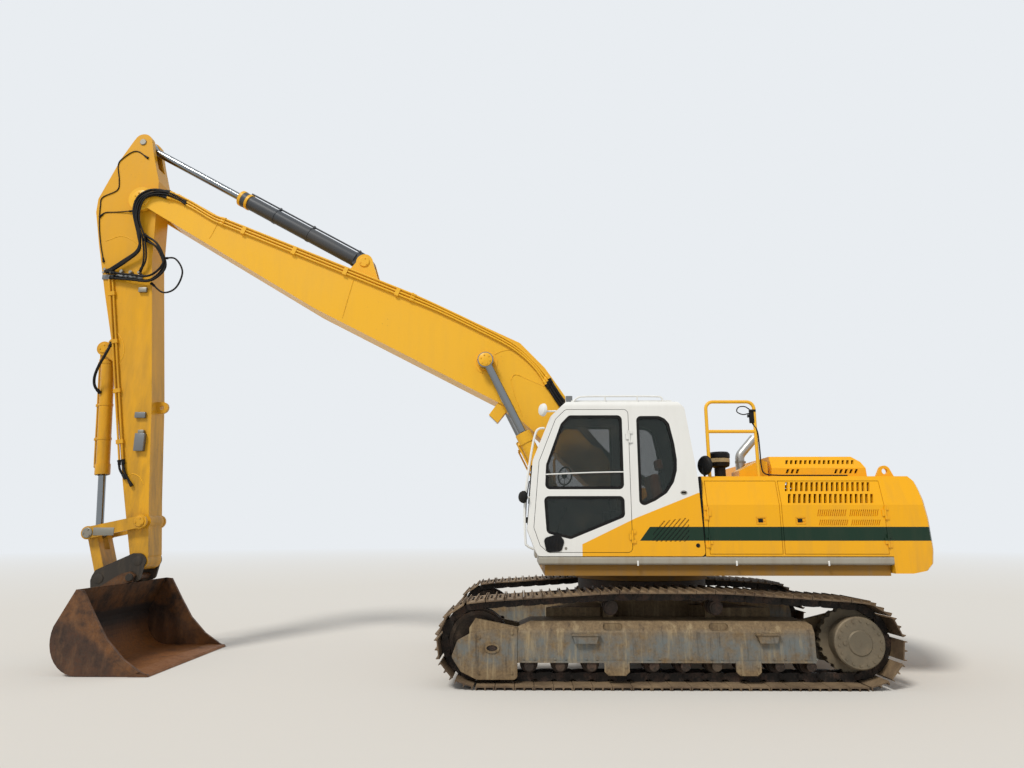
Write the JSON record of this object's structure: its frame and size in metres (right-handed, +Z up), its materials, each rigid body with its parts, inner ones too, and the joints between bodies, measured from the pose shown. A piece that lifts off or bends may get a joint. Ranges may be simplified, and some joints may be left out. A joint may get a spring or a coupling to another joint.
{
  "type": "crawler excavator with long boom and ditch-cleaning bucket",
  "caption": "Yellow crawler excavator with a white cab, green side stripe, long one-piece boom, stick, quick coupler and a wide smooth-edged bucket, on rusty steel tracks",
  "frame": {"origin": "on the ground under the swing axis, midway between the tracks", "axes": "+X along the boom, +Y to the cab side, +Z up"},
  "size_m": [11.8056, 3.49, 7.8199],
  "materials": {
    "dusty_frame_steel": "matte",
    "track_steel": "matte",
    "running_gear": "matte",
    "dark_metal": "satin",
    "grey_paint": "satin",
    "yellow_casting": "satin",
    "yellow_paint": "satin",
    "white_paint": "satin",
    "cab_window": "gloss",
    "cab_trim": "matte",
    "exhaust_steel": "satin",
    "black_plastic": "matte",
    "lamp_body": "satin",
    "rod_chrome": "polished",
    "barrel_paint": "satin",
    "coupler_paint": "satin",
    "bucket_steel": "matte"
  },
  "bodies": {
    "undercarriage": {"centre_frame": "dusty_frame_steel", "slew_ring": "dark_metal", "track_frame_left": "dusty_frame_steel", "track_frame_right": "dusty_frame_steel", "track_left": "track_steel", "track_right": "track_steel", "idler_left": "running_gear", "idler_right": "running_gear", "sprocket_left": "running_gear", "sprocket_right": "running_gear", "rollers_left": "running_gear", "rollers_right": "running_gear"},
    "upper": {"swing_frame": "grey_paint", "counterweight": "yellow_casting", "lifting_eyes": "yellow_paint", "engine_block": "dark_metal", "house_frame": "yellow_paint", "fuel_tank": "yellow_paint", "walkways": "grey_paint", "cab_shell": "white_paint", "cab_glass": "cab_window", "operator_seat": "cab_trim", "exhaust": "exhaust_steel", "air_intake": "black_plastic", "handrails": "yellow_paint", "mirrors": "black_plastic", "lamps": "lamp_body"},
    "cab_door": {"cab_door": "white_paint", "door_glass": "cab_window"},
    "left_front_door": {"left_front_door": "yellow_paint"},
    "left_rear_door": {"left_rear_door": "yellow_paint"},
    "right_front_door": {"right_front_door": "yellow_paint"},
    "right_rear_door": {"right_rear_door": "yellow_paint"},
    "engine_hood": {"engine_hood": "yellow_paint"},
    "boom": {"boom": "yellow_paint", "boom_pipes": "yellow_paint"},
    "lift_barrel_left": {"lift_barrel_left": "yellow_paint"},
    "lift_barrel_right": {"lift_barrel_right": "yellow_paint"},
    "lift_rod_left": {"lift_rod_left": "rod_chrome"},
    "lift_rod_right": {"lift_rod_right": "rod_chrome"},
    "stick_barrel": {"stick_barrel": "barrel_paint"},
    "stick_rod": {"stick_rod": "rod_chrome"},
    "stick": {"stick": "yellow_paint", "stick_pipes": "yellow_paint"},
    "bucket_barrel": {"bucket_barrel": "yellow_paint"},
    "bucket_rod": {"bucket_rod": "rod_chrome"},
    "rocker": {"rocker": "yellow_paint"},
    "bucket_link": {"bucket_link": "yellow_paint"},
    "bucket": {"coupler": "coupler_paint", "bucket": "bucket_steel"}
  },
  "joints": [
    {"name": "swing", "type": "hinge", "parent": "undercarriage", "child": "upper", "pos_m": [0, 0, 1.09], "axis": [0, 0, 1], "continuous": true},
    {"name": "cab_door_hinge", "type": "hinge", "parent": "upper", "child": "cab_door", "pos_m": [0.33, 1.512, 2.3], "axis": [0, 0, 1], "range_deg": [0, 165]},
    {"name": "left_front_door_hinge", "type": "hinge", "parent": "upper", "child": "left_front_door", "pos_m": [-0.57, 1.512, 1.9], "axis": [0, 0, 1], "range_deg": [-115, 0]},
    {"name": "left_rear_door_hinge", "type": "hinge", "parent": "upper", "child": "left_rear_door", "pos_m": [-2.669, 1.512, 1.9], "axis": [0, 0, -1], "range_deg": [-115, 0]},
    {"name": "right_front_door_hinge", "type": "hinge", "parent": "upper", "child": "right_front_door", "pos_m": [-0.57, -1.512, 1.9], "axis": [0, 0, -1], "range_deg": [-115, 0]},
    {"name": "right_rear_door_hinge", "type": "hinge", "parent": "upper", "child": "right_rear_door", "pos_m": [-2.669, -1.512, 1.9], "axis": [0, 0, 1], "range_deg": [-115, 0]},
    {"name": "hood_hinge", "type": "hinge", "parent": "upper", "child": "engine_hood", "pos_m": [-2.7, 0, 2.389], "axis": [0, -1, 0], "range_deg": [0, 75]},
    {"name": "boom_lift", "type": "hinge", "parent": "upper", "child": "boom", "pos_m": [0.2, 0, 2.05], "axis": [0, -1, 0], "range_deg": [-52, 27]},
    {"name": "lift_barrel_left_pivot", "type": "hinge", "parent": "upper", "child": "lift_barrel_left", "pos_m": [0.9, 0.385, 1.6], "axis": [0, -1, 0], "range_deg": [-54.58, 28.58]},
    {"name": "lift_rod_left_slide", "type": "slide", "parent": "lift_barrel_left", "child": "lift_rod_left", "axis": [0.4482, 0, 0.8939], "range_m": [-0.7018, 0.3659]},
    {"name": "lift_barrel_right_pivot", "type": "hinge", "parent": "upper", "child": "lift_barrel_right", "pos_m": [0.9, -0.385, 1.6], "axis": [0, -1, 0], "range_deg": [-54.58, 28.58]},
    {"name": "lift_rod_right_slide", "type": "slide", "parent": "lift_barrel_right", "child": "lift_rod_right", "axis": [0.4482, 0, 0.8939], "range_m": [-0.7018, 0.3659]},
    {"name": "stick_swing", "type": "hinge", "parent": "boom", "child": "stick", "pos_m": [7.44, 0, 6.68], "axis": [0, -1, 0], "range_deg": [-15, 85]},
    {"name": "stick_barrel_pivot", "type": "hinge", "parent": "boom", "child": "stick_barrel", "pos_m": [4, 0, 5.68], "axis": [0, -1, 0], "range_deg": [-0.65, 1.35]},
    {"name": "stick_rod_slide", "type": "slide", "parent": "stick_barrel", "child": "stick_rod", "axis": [0.8718, 0, 0.4898], "range_m": [-1.3678, 0.2439]},
    {"name": "bucket_curl", "type": "hinge", "parent": "stick", "child": "bucket", "pos_m": [6.89, 0, 1.31], "axis": [0, -1, 0], "range_deg": [-105, 35]},
    {"name": "rocker_pivot", "type": "hinge", "parent": "stick", "child": "rocker", "pos_m": [6.9, 0, 1.84], "axis": [0, -1, 0], "range_deg": [-68.75, 23.25]},
    {"name": "bucket_link_pivot", "type": "hinge", "parent": "rocker", "child": "bucket_link", "pos_m": [7.6, 0, 1.69], "axis": [0, -1, 0], "range_deg": [-11.35, 33.05]},
    {"name": "bucket_barrel_pivot", "type": "hinge", "parent": "stick", "child": "bucket_barrel", "pos_m": [7.8, 0, 4.35], "axis": [0, -1, 0], "range_deg": [-8.38, 3.12]},
    {"name": "bucket_rod_slide", "type": "slide", "parent": "bucket_barrel", "child": "bucket_rod", "axis": [-0.075, 0, -0.9972], "range_m": [-0.2473, 0.736]}
  ],
  "couplings": [
    {"joint": "lift_barrel_left_pivot", "follows": "boom_lift", "ratio": 1.04},
    {"joint": "lift_rod_left_slide", "follows": "boom_lift", "m_per_rad": 0.77},
    {"joint": "lift_barrel_right_pivot", "follows": "boom_lift", "ratio": 1.04},
    {"joint": "lift_rod_right_slide", "follows": "boom_lift", "m_per_rad": 0.77},
    {"joint": "stick_barrel_pivot", "follows": "stick_swing", "ratio": 0.01},
    {"joint": "stick_rod_slide", "follows": "stick_swing", "m_per_rad": -0.92},
    {"joint": "rocker_pivot", "follows": "bucket_curl", "ratio": 0.65},
    {"joint": "bucket_link_pivot", "follows": "bucket_curl", "ratio": -0.31},
    {"joint": "bucket_barrel_pivot", "follows": "bucket_curl", "ratio": 0.075},
    {"joint": "bucket_rod_slide", "follows": "bucket_curl", "m_per_rad": -0.4}
  ]
}
